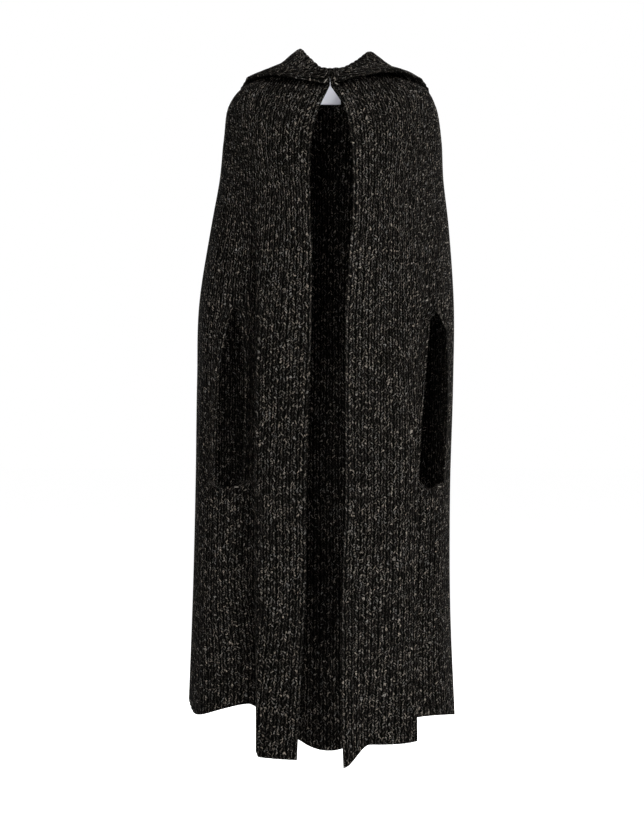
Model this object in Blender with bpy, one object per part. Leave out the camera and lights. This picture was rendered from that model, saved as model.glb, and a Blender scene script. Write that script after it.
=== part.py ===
"""Hooded cape in rib knit: two fronts with arm slits, a back, a folded-down hood, a neck label, a hook and an eye.

Metres, +Z up, the front faces -Y and X runs to the right of a viewer in front. The origin is the middle of the
neck base. "Left" and "right" are the viewer's. Each panel is a wall between an outer skin, which carries the ribs,
and a plain inner skin.
"""

import bpy
import numpy as np
from mathutils import Vector
from mathutils.bvhtree import BVHTree

WALL = 0.004  # thickness of the knit
RIB_RISE = 0.0011  # how far a rib stands out of the outer skin
SEAM_GAP = 0.0004  # between two panels along a seam
RIBS = 28  # ribs across a quarter of the body
NECK_RIBS = 10  # of those, the ribs that end at the neckline
SHOULDER_RUN = 0.26  # how far down the shoulder line the other ribs end
CAPE_RUN = 1.31  # from the neckline to the hem, down the cloth
BACK_DIP = 9.0  # how sharply the hem dips towards the middle of the back
LEFT_HEM_LIFT = 0.022  # how much higher the left side of the hem curls
RIGHT_HEM_DROP = 0.009  # and how much lower the right side hangs
LEFT = -1
RIGHT = 1

# Rings of the body from the neckline to the hem: run down the cloth, depth and height at centre front, half widths
# and height at the sides, depth and height at centre back, and the squareness of the oval.
RINGS = np.array([
    # run   front_y front_z left_x right_x side_z  back_y back_z square
    (0.00, -0.080, -0.013, 0.066, 0.068, 0.036, 0.066, 0.022, 2.00),
    (0.05, -0.112, -0.060, 0.118, 0.124, 0.015, 0.096, -0.014, 2.00),
    (0.11, -0.138, -0.118, 0.168, 0.181, -0.008, 0.118, -0.068, 2.05),
    (0.17, -0.155, -0.175, 0.194, 0.203, -0.042, 0.132, -0.128, 2.10),
    (0.25, -0.166, -0.252, 0.204, 0.214, -0.105, 0.142, -0.215, 2.15),
    (0.34, -0.174, -0.340, 0.212, 0.218, -0.186, 0.149, -0.305, 2.20),
    (0.43, -0.178, -0.425, 0.228, 0.228, -0.275, 0.155, -0.395, 2.20),
    (0.55, -0.181, -0.535, 0.251, 0.238, -0.420, 0.160, -0.510, 2.20),
    (0.70, -0.183, -0.685, 0.256, 0.237, -0.575, 0.166, -0.665, 2.20),
    (0.90, -0.186, -0.880, 0.259, 0.231, -0.785, 0.174, -0.865, 2.20),
    (1.10, -0.190, -1.075, 0.264, 0.231, -1.000, 0.183, -1.075, 2.20),
    (1.31, -0.195, -1.284, 0.272, 0.240, -1.217, 0.192, -1.330, 2.20),
])

# Distance of each front edge from the middle of the body, by run.
FRONT_EDGES = np.array([
    # run  left_x  right_x
    (0.00, 0.0008, 0.0008),
    (0.05, 0.0200, 0.0260),
    (0.11, 0.0340, 0.0380),
    (0.17, 0.0380, 0.0410),
    (0.25, 0.0375, 0.0420),
    (0.34, 0.0345, 0.0360),
    (0.43, 0.0345, 0.0292),
    (0.64, 0.0398, 0.0272),
    (0.80, 0.0440, 0.0272),
    (1.02, 0.0463, 0.0220),
    (1.20, 0.0570, 0.0198),
    (1.31, 0.0622, 0.0240),
])

# Folds: the side, the half (front or back), where the fold's outer edge lies, how deep the cloth drops behind it,
# over what width it drops and comes back out, how far it slides under the edge, the run where it starts and where
# it is full, and how far the hem lifts beyond it.
FOLDS = (
    # side, half, edge_x, depth, drop, back_out, slide, start, full, hem_lift
    (LEFT, "front", 0.132, 0.036, 0.040, 0.110, 0.016, 0.14, 0.60, 0.086),
    (RIGHT, "front", 0.159, 0.026, 0.032, 0.080, 0.018, 0.34, 0.90, 0.034),
    (LEFT, "back", 0.050, 0.014, 0.050, 0.070, 0.000, 0.40, 1.25, 0.000),
    (LEFT, "back", 0.165, 0.018, 0.045, 0.070, 0.004, 0.30, 1.20, 0.012),
    (RIGHT, "back", 0.035, 0.012, 0.050, 0.065, 0.000, 0.45, 1.25, 0.000),
    (RIGHT, "back", 0.140, 0.020, 0.045, 0.070, 0.004, 0.32, 1.20, 0.014),
)
LIFT_START = 0.95  # the run below which the hem lifts beyond a fold
LIFT_RETURN = 0.16  # the width over which that lift dies out again

RIGHT_FRONT_RISE = 0.030  # the right front's hem hangs this much higher than the left one's
CORNER_DROP = 0.044  # and its corner hangs this much lower than the rest of it
CORNER_WIDTH = 0.050
RIGHT_FRONT_START = 1.05  # the run below which both show

# Arm slits: the side, the rib that opens, how far its two edges stand apart towards the front and the side, and how
# much of that they already do just under the top.
SLITS = (
    # side, rib, to_front, to_side, under_top
    (LEFT, 16, 0.030, 0.024, 0.50),
    (RIGHT, 18, 0.024, 0.033, 0.80),
)
SLIT_SPAN = (0.352, 0.372, 0.440, 0.515, 0.612, 0.624)  # its rows: top, four rows where it stands open, bottom
SLIT_OPEN = (0.0, 0.0, 0.95, 1.0, 1.0, 0.0)  # share of the full opening at each, but for the row under the top
SLIT_EASE = 4.5  # ribs over which the cloth beside a slit gives way

BODY_ROWS = (0.0, 0.04, 0.10, 0.18, 0.26) + SLIT_SPAN + (0.67, 0.77, 0.87, 0.95, 1.0)
FINE_COLUMNS = 260  # points across a quarter of the body while its shape is worked out
FINE_ROWS = 200  # and down it

# Hood: its grid runs round from the throat and, at each place, across from the neck seam to the face edge. The
# place across is its turn: 0 at the neck seam, 0.5 at the fold and 1 at the face edge.
HOOD_COLUMNS = 15  # from the throat to the middle of the back
HOOD_START = 0.012  # the first column, a little away from the throat's point
HOOD_BANDS = (
    # from turn, to turn, rows
    (0.00, 0.17, 5),
    (0.17, 0.44, 5),
    (0.44, 0.56, 4),
    (0.56, 1.00, 6),
)
# Turns of the lines that shape it: neck seam, rising side of the roll, roll, falling side, fall, foot of the fall,
# fold, foot of the outer layer, belly of the outer layer, face edge.
HOOD_TURNS = (0.0, 0.09, 0.13, 0.17, 0.30, 0.44, 0.50, 0.56, 0.76, 1.0)
NECK_INSET = 0.0040  # the hood's stand is joined this far inside the neckline
HOOD_CLEAR = 0.0138  # least distance between the middles of the hood's wall and the body's
FREE_TURN = 0.16  # the turn beyond which the hood lies on the body and is kept clear of it
CROWN_GAP = 0.0004  # in the crown seam
# Lines of the hood from the throat round to the middle of the back, at equal steps, as distance out from the middle
# and height on each side. The roll is its highest line, the fold is the bottom of the pouch at the back, and the
# face edge is its rim.
ROLL_LINE = np.array([
    # left_out left_z right_out right_z y
    (0.0015, 0.008, 0.0015, 0.008, -0.083),
    (0.0210, 0.021, 0.0240, 0.018, -0.079),
    (0.0460, 0.048, 0.0530, 0.038, -0.052),
    (0.0585, 0.0655, 0.0770, 0.0605, -0.014),
    (0.0660, 0.058, 0.0800, 0.054, 0.030),
    (0.0400, 0.047, 0.0460, 0.046, 0.074),
    (0.0000, 0.044, 0.0000, 0.044, 0.090),
])
FOLD_LINE = np.array([
    # left_out left_z right_out right_z y
    (0.0015, -0.001, 0.0015, -0.001, -0.0935),
    (0.0460, 0.010, 0.0510, 0.014, -0.092),
    (0.0960, 0.019, 0.1070, 0.022, -0.068),
    (0.1400, 0.018, 0.1560, 0.019, 0.018),
    (0.1500, -0.062, 0.1680, -0.062, 0.094),
    (0.0980, -0.150, 0.1100, -0.150, 0.142),
    (0.0000, -0.205, 0.0000, -0.205, 0.164),
])
FACE_EDGE = np.array([
    # left_out left_z right_out right_z y
    (0.0015, -0.014, 0.0015, -0.014, -0.0945),
    (0.0600, -0.004, 0.0650, 0.003, -0.094),
    (0.1180, 0.009, 0.1300, 0.014, -0.066),
    (0.1640, 0.007, 0.1820, 0.006, 0.014),
    (0.1700, 0.001, 0.1880, 0.001, 0.106),
    (0.1000, -0.018, 0.1120, -0.018, 0.166),
    (0.0000, -0.028, 0.0000, -0.028, 0.190),
])
POUCH_START = 0.42  # share of the way round where the two layers begin to part into the pouch
POUCH_SPAN = 0.40  # share over which they do
POUCH_SWELL = 0.030  # how far the pouch's outer layer bellies out
ROLL_ROUND = 0.004  # how far the roll bulges to the neck's side of its line
ROLL_FALL = 0.6  # share of that on the other side
FALL_OUT = 0.012  # how far the fall bellies out behind the pouch
FALL_HOLLOW = 0.006  # how far the fall sags between the roll and the shoulder
EDGE_LIFT = 0.002  # how far the outer layer arches over the shoulder
INNER_FOOT = 0.010  # half widths of the pouch's bottom, towards the body and away from it
OUTER_FOOT = 0.012
FOOT_REACH = 0.22  # share of the way up each layer where its foot ends, in the pouch
FOOT_REACH_MORE = 0.16  # and how much more in front

LABEL_WIDTH = 0.041
LABEL_TOP = 0.0245
LABEL_BOTTOM = -0.0305
LABEL_WALL = 0.0010
LABEL_MIDDLE = 0.0008  # how far it hangs to the right of the middle
LABEL_LEAN = 0.0025  # how far its lower edge stands off the back

WIRE = 0.0005  # radius of the hook's and the eye's wire
FASTENER_Y = -0.0702  # depth and height of both, inside the throat
FASTENER_Z = -0.0040
EYE_X = -0.0040
EYE_HALF_WIDTH = 0.0038
EYE_HALF_HEIGHT = 0.0028
HOOK_BEND = 0.0014  # radius of the hook's bend
HOOK_X = (0.0080, 0.0035, -0.0022, 0.0004)  # its root, its neck, the middle of its bend and its tip


def smooth(x):
    """A soft step from 0 at x = 0 to 1 at x = 1."""
    x = np.clip(x, 0.0, 1.0)
    return x * x * (3.0 - 2.0 * x)


def hermite(t, step, first, second, first_slope, second_slope):
    """The cubic between two values with these slopes, t of the way along a step."""
    return (
        (2 * t**3 - 3 * t**2 + 1) * first
        + (t**3 - 2 * t**2 + t) * step * first_slope
        + (3 * t**2 - 2 * t**3) * second
        + (t**3 - t**2) * step * second_slope
    )


def knot_slopes(step, values):
    """Slopes at the knots of a smooth curve through the values, which are these steps apart."""
    slope = np.diff(values, axis=0) / step
    middle = (slope[:-1] * step[1:] + slope[1:] * step[:-1]) / (step[1:] + step[:-1])
    return np.concatenate([slope[:1], middle, slope[-1:]])


def spline(table, x):
    """A smooth curve through the rows of a table at x, which is its first column. Gives the other columns."""
    xs = table[:, 0]
    ys = table[:, 1:]
    step = np.diff(xs)[:, None]
    slope = knot_slopes(step, ys)
    i = np.clip(np.searchsorted(xs, x, side="right") - 1, 0, len(xs) - 2)
    t = ((x - xs[i]) / (xs[i + 1] - xs[i]))[..., None]
    return hermite(t, step[i], ys[i], ys[i + 1], slope[i], slope[i + 1])


def unit(v):
    """Vectors of length 1 along these vectors."""
    return v / np.maximum(np.linalg.norm(v, axis=-1, keepdims=True), 1e-12)


def level(v):
    """Vectors with their height left out."""
    return v * np.array([1.0, 1.0, 0.0])


def lengths(points):
    """Distance along each row of points from its first point."""
    return np.cumsum(np.linalg.norm(np.diff(points, axis=1, prepend=points[:, :1]), axis=-1), axis=1)


def along_curve(at, xs, points):
    """Points of a polyline at these values of xs."""
    return np.stack([np.interp(at, xs, points[:, axis]) for axis in range(3)], axis=-1)


def ring_point(side, run, angle):
    """The plain oval body at a run down the cloth and an angle from centre front, without its folds."""
    front_y, front_z, left_x, right_x, side_z, back_y, back_z, square = np.moveaxis(spline(RINGS, run), -1, 0)
    half = left_x if side == LEFT else right_x
    sine = np.sin(angle)
    cosine = np.cos(angle)
    low = smooth(run / CAPE_RUN)
    front_share = 1.0 - np.abs(sine) ** (2.0 + 2.0 * low)
    back_share = np.abs(cosine) ** (2.0 + BACK_DIP * low)
    curl = (LEFT_HEM_LIFT if side == LEFT else -RIGHT_HEM_DROP) * low**4 * np.abs(sine) ** 8
    x = side * half * np.abs(sine) ** (2.0 / square)
    y = np.where(cosine > 0, front_y, back_y) * np.abs(cosine) ** (2.0 / square)
    share = np.where(cosine > 0, front_share, back_share)
    z = side_z + (np.where(cosine > 0, front_z, back_z) - side_z) * share + curl
    return np.stack([x, y, z], axis=-1)


def angle_at(side, run, out, half):
    """The angle at which the body's oval is this far out from the middle."""
    row = spline(RINGS, run)
    width = row[..., 2] if side == LEFT else row[..., 3]
    angle = np.arcsin(np.clip(out / width, 0.0, 1.0) ** (row[..., 7] / 2.0))
    return angle if half == "front" else np.pi - angle


def quarter(side, half, runs):
    """A fine grid of one quarter of the body with its folds: a row for each run, from the middle to the side."""
    edges = spline(FRONT_EDGES, runs)[:, 0 if side == LEFT else 1]
    start = angle_at(side, runs, edges, "front") if half == "front" else np.full(len(runs), np.pi)
    share = np.linspace(0.0, 1.0, FINE_COLUMNS)
    angle = start[:, None] + (np.pi / 2 - start)[:, None] * share[None, :]
    run = np.repeat(runs[:, None], FINE_COLUMNS, axis=1)
    base = ring_point(side, run, angle)
    along = unit(level(np.gradient(base, axis=1)))
    outward = np.stack([along[..., 1], -along[..., 0], np.zeros_like(run)], axis=-1)
    outward *= np.sign((outward * base).sum(-1, keepdims=True))
    length = lengths(base)
    point = base.copy()
    for fold_side, fold_half, edge_x, depth, drop, back_out, slide, first, full, hem_lift in FOLDS:
        if (fold_side, fold_half) != (side, half):
            continue
        fold_angle = angle_at(side, runs, edge_x, half)
        at = np.array([np.interp(abs(a - s), np.abs(angle[i] - s), length[i])
                       for i, (a, s) in enumerate(zip(fold_angle, start))])
        past = length - at[:, None]
        strength = smooth((run - first) / (full - first))
        inside = smooth(past / drop) * (1.0 - smooth((past - drop) / back_out)) * strength
        lift = smooth(past / drop) * (1.0 - smooth((past - drop) / LIFT_RETURN)) * strength
        point = point - outward * (depth * inside)[..., None] - along * (slide * inside)[..., None]
        point[..., 2] += hem_lift * lift * smooth((run - LIFT_START) / (CAPE_RUN - LIFT_START))
    if (side, half) == (RIGHT, "front"):
        low = smooth((run - RIGHT_FRONT_START) / (CAPE_RUN - RIGHT_FRONT_START))
        towards_front = np.clip(np.cos(angle), 0.0, 1.0) ** 2
        point[..., 2] += low * towards_front * RIGHT_FRONT_RISE
        point[..., 2] -= low * CORNER_DROP * (1.0 - smooth(length / CORNER_WIDTH))
    return point


def start_run(rib):
    """The run at which a rib's column begins: the neckline for the first ribs, else a point of the shoulder line."""
    return SHOULDER_RUN * np.clip((rib - NECK_RIBS) / (RIBS - NECK_RIBS), 0.0, 1.0)


def quarter_columns(side, half, ribs, rows):
    """Points of a quarter at these ribs (from the middle to the side seam) and rows (0 top, 1 hem)."""
    runs = np.linspace(0.0, CAPE_RUN, FINE_ROWS)
    fine = quarter(side, half, runs)
    length = lengths(fine)
    present = NECK_RIBS + (RIBS - NECK_RIBS) * np.clip(runs / SHOULDER_RUN, 0.0, 1.0)
    at = np.stack([along_curve(np.minimum(ribs / present[i], 1.0) * length[i, -1], length[i], fine[i])
                   for i in range(FINE_ROWS)])
    begin = start_run(ribs)
    out = np.stack([along_curve(begin[j] + (CAPE_RUN - begin[j]) * rows, runs, at[:, j])
                    for j in range(len(ribs))], axis=1)
    on_seam = ribs >= NECK_RIBS
    out[0, on_seam] = along_curve(begin[on_seam], runs, fine[:, -1])
    return out


def grid_normals(grid, sign):
    """Unit normals of a grid of points, turned by the sign."""
    return sign * unit(np.cross(np.gradient(grid, axis=0), np.gradient(grid, axis=1)))


def outward_normals(grid):
    """Unit normals of a body grid, pointing away from the body's upright middle line."""
    normal = grid_normals(grid, 1.0)
    return normal * np.sign((normal * level(grid)).sum(-1).mean())


def open_slit(grid, ribs, rows, slit_rib, to_front, to_side, under_top):
    """Two copies of a front's grid, for the cloth on either side of its arm slit."""
    shares = (SLIT_OPEN[0], under_top) + SLIT_OPEN[2:]
    opened = np.interp(rows, SLIT_SPAN, shares, left=0.0, right=0.0)[:, None]
    near = smooth(1.0 - np.abs(ribs - slit_rib) / SLIT_EASE)[None, :]
    along = unit(np.gradient(grid, axis=1)) * (opened * near)[..., None]
    return grid - along * to_front, grid + along * to_side


class Wall:
    """A closed wall, built from cells that share their vertices. It adds the faces along its open sides itself."""

    def __init__(self):
        self.points = []
        self.index = {}
        self.faces = []
        self.sides = {}

    def vertex(self, key, point):
        """The number of the vertex with this key, which is added the first time."""
        if key not in self.index:
            self.index[key] = len(self.points)
            self.points.append(tuple(point))
        return self.index[key]

    def cell(self, outer, inner):
        """outer and inner: two rows of vertices each, which run the same way. The inner rows have two each."""
        (near, far), ((p, q), (r, s)) = outer, inner
        for i in range(len(near) - 1):
            self.faces.append((near[i], near[i + 1], far[i + 1], far[i]))
        self.faces.append((p, r, s, q))
        for ends, chain in (
            ((p, q), near), ((q, s), (near[-1], far[-1])), ((s, r), far[::-1]), ((r, p), (far[0], near[0])),
        ):
            key = frozenset(ends)
            self.sides[key] = None if key in self.sides else (ends, tuple(chain))

    def make(self, name, material):
        """Closes the wall and makes its object."""
        for side in self.sides.values():
            if side:
                (first, last), chain = side
                self.faces.append(tuple(reversed(chain)) + (first, last))
        mesh = bpy.data.meshes.new(name)
        mesh.from_pydata(self.points, [], self.faces)
        mesh.materials.append(material)
        for face in mesh.polygons:
            face.use_smooth = len(face.vertices) == 4
        mesh.update()
        if signed_volume(mesh) < 0:
            mesh.flip_normals()
        obj = bpy.data.objects.new(name, mesh)
        CAPE.objects.link(obj)
        return obj


def signed_volume(mesh):
    """The mesh's volume, which is negative where its faces point inward."""
    total = 0.0
    mesh.calc_loop_triangles()
    for triangle in mesh.loop_triangles:
        a, b, c = (mesh.vertices[i].co for i in triangle.vertices)
        total += a.dot(b.cross(c)) / 6.0
    return total


def fill(wall, grid, normal, relief, tag, cells):
    """Adds the cells (row, rib) of a wall round a middle grid whose columns are half a rib apart.

    The outer skin carries the relief. tag(row, column) names a vertex.
    """
    outer = grid + normal * (WALL / 2 + RIB_RISE * relief)[..., None]
    inner = grid - normal * (WALL / 2)
    for row, rib in cells:
        left, mid, right = 2 * rib, 2 * rib + 1, 2 * rib + 2
        outer_ids = [[wall.vertex(("outer", *tag(r, c)), outer[r, c]) for c in (left, mid, right)]
                     for r in (row, row + 1)]
        inner_ids = [[wall.vertex(("inner", *tag(r, c)), inner[r, c]) for c in (left, right)]
                     for r in (row, row + 1)]
        wall.cell(outer_ids, inner_ids)


def rib_relief(ribs, rows):
    """1 on the crest of each rib, 0 between ribs, fading out at the top edge."""
    crest = 0.5 + 0.5 * np.cos(2 * np.pi * ribs)
    return smooth((rows + 0.01) / 0.05)[:, None] * crest[None, :]


def body_panels():
    """Middle grids and normals of the body's quarters, which share their normals along the seams.

    Gives the ribs and rows of the grids, and the grids and normals by side and half.
    """
    ribs = np.arange(2 * RIBS + 1) / 2.0
    rows = np.array(BODY_ROWS)
    on_top = ribs >= NECK_RIBS
    grids = {(side, half): quarter_columns(side, half, ribs, rows)
             for side in (LEFT, RIGHT) for half in ("front", "back")}
    back_normal = outward_normals(both_backs(grids))
    normals = {(LEFT, "back"): back_normal[:, len(ribs) - 1::-1].copy(),
               (RIGHT, "back"): back_normal[:, len(ribs) - 1:].copy()}
    for side in (LEFT, RIGHT):
        front = outward_normals(grids[side, "front"])
        rear = normals[side, "back"]
        shared_top = unit(front[0, on_top] + rear[0, on_top])
        shared_side = unit(front[:, -1] + rear[:, -1])
        for normal in (front, rear):
            normal[0, on_top] = shared_top
            normal[:, -1] = shared_side
        normals[side, "front"] = front
        for half in ("front", "back"):
            grid = grids[side, half]
            moved = grid.copy()
            moved[:, -1] += unit(grid[:, -2] - grid[:, -1]) * SEAM_GAP / 2
            moved[0, on_top] = grid[0, on_top] + unit(grid[1] - grid[0])[on_top] * SEAM_GAP / 2
            grids[side, half] = moved
    return ribs, rows, grids, normals


def both_backs(values):
    """The back's two quarters side by side, as one grid from the left side seam to the right one."""
    return np.concatenate([values[LEFT, "back"][:, :0:-1], values[RIGHT, "back"]], axis=1)


def make_front(side, name, panels, material):
    """A front, whose grid is split into two copies along the rib that opens into its arm slit."""
    ribs, rows, grids, normals = panels
    slit_rib, to_front, to_side, under_top = next(row[1:] for row in SLITS if row[0] == side)
    copies = open_slit(grids[side, "front"], ribs, rows, slit_rib, to_front, to_side, under_top)
    top = BODY_ROWS.index(SLIT_SPAN[0])
    bottom = BODY_ROWS.index(SLIT_SPAN[-1])
    wall = Wall()
    for part, (low, high) in enumerate(((0, slit_rib), (slit_rib, RIBS))):

        def tag(row, column):
            split = column == 2 * slit_rib and top < row < bottom
            return row, column, part if split else 0

        cells = [(row, rib) for row in range(len(rows) - 1) for rib in range(low, high)]
        fill(wall, copies[part], normals[side, "front"], rib_relief(ribs, rows), tag, cells)
    return wall.make(name, material)


def make_back(panels, material):
    """The back, one piece from side seam to side seam."""
    ribs, rows, grids, normals = panels
    relief = rib_relief(np.concatenate([ribs[:0:-1], ribs]), rows)
    cells = [(row, rib) for row in range(len(rows) - 1) for rib in range(2 * RIBS)]
    wall = Wall()
    fill(wall, both_backs(grids), both_backs(normals), relief, lambda row, column: (row, column), cells)
    return wall.make("back", material)


def hood_line(table, side, share):
    """A line of the hood at a share of the way from the throat to the middle of the back."""
    steps = np.linspace(0.0, 1.0, len(table))[:, None]
    left_out, left_z, right_out, right_z, y = np.moveaxis(spline(np.hstack([steps, table]), share), -1, 0)
    out, z = (left_out, left_z) if side == LEFT else (right_out, right_z)
    return np.stack([side * out, y, z], axis=-1)


def hood_middle(side, share, turn):
    """The middle surface of half the hood, share of the way round from the throat and at a turn across."""
    ring = ring_point(side, np.zeros_like(share), np.pi * share)
    neck = ring - unit(level(ring)) * NECK_INSET
    roll = hood_line(ROLL_LINE, side, share)
    fold = hood_line(FOLD_LINE, side, share)
    edge = hood_line(FACE_EDGE, side, share)
    pouch = smooth((share - POUCH_START) / POUCH_SPAN)[..., None]
    swell = np.sin(np.pi * share)[..., None]
    up = np.array([0.0, 0.0, 1.0])
    out = unit(level(fold - neck))
    low = 0.5 * (roll + fold) + out * FALL_OUT * pouch - up * FALL_HOLLOW * swell * (1.0 - pouch)
    belly = 0.5 * (fold + edge) + out * POUCH_SWELL * pouch + up * EDGE_LIFT * swell
    fold = fold + (0.5 * (low + belly) - fold) * 0.5 * (1.0 - pouch)
    reach = FOOT_REACH + FOOT_REACH_MORE * (1.0 - pouch)
    inner_foot = fold - out * INNER_FOOT * pouch + (low - fold) * reach
    outer_foot = fold + out * OUTER_FOOT * pouch + (belly - fold) * reach
    rising = roll + (neck - roll) * 0.25 - out * ROLL_ROUND
    falling = roll + (low - roll) * 0.25 + out * ROLL_ROUND * ROLL_FALL
    lines = (neck, rising, roll, falling, low, inner_foot, fold, outer_foot, belly, edge)
    return blend_lines(np.array(HOOD_TURNS), np.stack(lines), turn)


def blend_lines(knots, lines, turn):
    """A smooth curve across several lines, at a turn given for each point."""
    step = np.diff(knots)
    slope = knot_slopes(step[:, None, None, None], lines)
    i = np.clip(np.searchsorted(knots, turn, side="right") - 1, 0, len(knots) - 2)
    row, column = np.indices(turn.shape)
    t = ((turn - knots[i]) / step[i])[..., None]
    return hermite(t, step[i][..., None], lines[i, row, column], lines[i + 1, row, column],
                   slope[i, row, column], slope[i + 1, row, column])


def push_clear(points, movable, grids):
    """Moves points off the body until they clear the middle of its wall by HOOD_CLEAR."""
    vertices = []
    faces = []
    for grid in grids.values():
        first = len(vertices)
        high, wide = grid.shape[:2]
        vertices += [Vector(p) for p in grid.reshape(-1, 3)]
        corners = [first + r * wide + c for r in range(high - 1) for c in range(wide - 1)]
        faces += [(a, a + 1, a + wide + 1, a + wide) for a in corners]
    tree = BVHTree.FromPolygons(vertices, faces)
    for place in np.argwhere(movable):
        point = Vector(points[tuple(place)])
        found, normal, _, _ = tree.find_nearest(point)
        outward = Vector((found.x, found.y, 0.0)).normalized() + Vector((0.0, 0.0, 1.2))
        if normal.dot(outward) < 0:
            normal = -normal
        height = (point - found).dot(normal)
        if height < HOOD_CLEAR:
            points[tuple(place)] = point + normal * (HOOD_CLEAR - height)
    return points


def hood_normals(half, side):
    """Normals of half the hood, evened out round it and upright in the middle of the back."""
    normal = grid_normals(half, side)
    normal[:, 1:-1] = unit(normal[:, :-2] + normal[:, 1:-1] + normal[:, 2:])
    normal[:, -1, 0] = 0.0
    return unit(normal)


def make_hood(panels, name, material):
    """The hood as one wall, joined at the middle of the back from the neck seam to the fold, and open at its crown
    seam from there to the face edge. Its ribs run round it, one to every second row, on the side that shows."""
    grids = panels[2]
    share = np.linspace(HOOD_START, 1.0, HOOD_COLUMNS + 1)
    turn = np.concatenate([np.linspace(low, high, rows, endpoint=False) for low, high, rows in HOOD_BANDS] + [[1.0]])
    turns, shares = np.meshgrid(turn, share, indexing="ij")
    crest = np.arange(len(turn)) % 2 * smooth((turn - 0.05) / 0.1) * (1.0 - smooth((turn - 0.97) / 0.03))
    rise = RIB_RISE * crest[:, None, None]
    inside_shows = (turn < 0.5)[:, None, None]
    open_seam = turn > 0.5
    wall = Wall()
    for part, side in enumerate((LEFT, RIGHT)):
        half = push_clear(hood_middle(side, shares, turns), turns > FREE_TURN, grids)
        half[:, -1, 0] = 0.0
        half[open_seam, -1, 0] = side * CROWN_GAP / 2
        normal = hood_normals(half, side)
        order = slice(None) if side == LEFT else slice(None, None, -1)
        outer = (half + normal * (WALL / 2 + rise * inside_shows))[:, order]
        inner = (half - normal * (WALL / 2 + rise * ~inside_shows))[:, order]
        first, middle = (0, HOOD_COLUMNS) if side == LEFT else (HOOD_COLUMNS, 0)

        def ids(skin, grid, row, columns):
            return [wall.vertex((skin, row, first + c, part if c == middle and open_seam[row] else 0), grid[row, c])
                    for c in columns]

        for row in range(len(turn) - 1):
            for column in range(HOOD_COLUMNS):
                pair = (column, column + 1)
                wall.cell([ids("outer", outer, r, pair) for r in (row, row + 1)],
                          [ids("inner", inner, r, pair) for r in (row, row + 1)])
    return wall.make(name, material)


def make_label(name, material):
    """A bare strip of satin that hangs down from the back neck seam, bent like the neckline."""
    down, across = np.meshgrid(np.linspace(0.0, 1.0, 6), np.linspace(-0.5, 0.5, 9), indexing="ij")
    x = LABEL_MIDDLE + across * LABEL_WIDTH
    ring = ring_point(RIGHT, np.zeros_like(x), np.pi - np.arcsin(np.abs(x) / RINGS[0, 4]))
    y = ring[..., 1] - NECK_INSET - WALL / 2 - LABEL_WALL / 2 - SEAM_GAP - LABEL_LEAN * down
    middle = np.stack([x, y, LABEL_TOP + (LABEL_BOTTOM - LABEL_TOP) * down], axis=-1)
    normal = grid_normals(middle, 1.0)
    wall = Wall()
    skins = {"outer": middle + normal * LABEL_WALL / 2, "inner": middle - normal * LABEL_WALL / 2}
    for row in range(len(middle) - 1):
        for column in range(len(middle[0]) - 1):
            sides = [[[wall.vertex((skin, r, c), skins[skin][r, c]) for c in (column, column + 1)]
                      for r in (row, row + 1)] for skin in ("outer", "inner")]
            wall.cell(*sides)
    return wall.make(name, material)


def make_wire(name, points, closed, material):
    """A round wire bent through the points."""
    curve = bpy.data.curves.new(name, "CURVE")
    curve.dimensions = "3D"
    curve.bevel_depth = WIRE
    curve.bevel_resolution = 1
    curve.use_fill_caps = True
    line = curve.splines.new("POLY")
    line.points.add(len(points) - 1)
    for point, place in zip(line.points, points):
        point.co = (*place, 1.0)
    line.use_cyclic_u = closed
    curve.materials.append(material)
    obj = bpy.data.objects.new(name, curve)
    CAPE.objects.link(obj)
    return obj


def make_fastener(material):
    """A wire eye inside the left front's top corner and a wire hook, from the right front's, that holds it."""
    y, z = FASTENER_Y, FASTENER_Z
    root, neck, middle, tip = HOOK_X
    around = np.linspace(0.0, 2 * np.pi, 16, endpoint=False)
    eye = [(EYE_X + EYE_HALF_WIDTH * np.cos(t), y, z + EYE_HALF_HEIGHT * np.sin(t)) for t in around]
    make_wire("neck_eye", eye, True, material)
    hook = [(root, y - HOOK_BEND, z), (neck, y - HOOK_BEND, z)]
    hook += [(middle - HOOK_BEND * np.cos(t), y + HOOK_BEND * np.sin(t), z)
             for t in np.linspace(-np.pi / 2, np.pi / 2, 7)]
    hook += [(tip, y + HOOK_BEND, z)]
    make_wire("neck_hook", hook, False, material)


def make_material(name, hex_colour, roughness, metallic=0.0):
    """A plain material with an sRGB colour."""
    made = bpy.data.materials.new(name)
    made.use_nodes = True
    shader = made.node_tree.nodes["Principled BSDF"]
    srgb = [int(hex_colour[i:i + 2], 16) / 255 for i in (0, 2, 4)]
    linear = [c / 12.92 if c <= 0.04045 else ((c + 0.055) / 1.055) ** 2.4 for c in srgb]
    shader.inputs["Base Color"].default_value = (*linear, 1.0)
    shader.inputs["Roughness"].default_value = roughness
    shader.inputs["Metallic"].default_value = metallic
    made.diffuse_color = (*linear, 1.0)
    return made


for old in list(bpy.data.objects):
    bpy.data.objects.remove(old, do_unlink=True)
CAPE = bpy.data.collections.new("cape")
bpy.context.scene.collection.children.link(CAPE)

body = body_panels()
make_front(LEFT, "front_left", body, make_material("left_marl_knit", "2b2926", 0.95))
make_front(RIGHT, "front_right", body, make_material("right_marl_knit", "2d2b28", 0.95))
make_back(body, make_material("back_marl_knit", "262421", 0.95))
make_hood(body, "hood", make_material("hood_marl_knit", "2a2825", 0.95))
make_label("label", make_material("label_satin", "e4e4f0", 0.4))
make_fastener(make_material("fastener_metal", "2a2a2c", 0.35, 1.0))
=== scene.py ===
"""Looks of the hooded cape: fine knitted shells over the plain CAD panels, a label, stitches and soft light.

Metres, in the CAD's frame: +Z up, the front faces -Y, and "left" and "right" are the viewer's. Each shell is
a grid worked out from the same rings, folds and hood lines as the CAD panel that it stands for.
"""

import bpy
import numpy as np
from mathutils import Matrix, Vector
from mathutils.bvhtree import BVHTree


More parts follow.
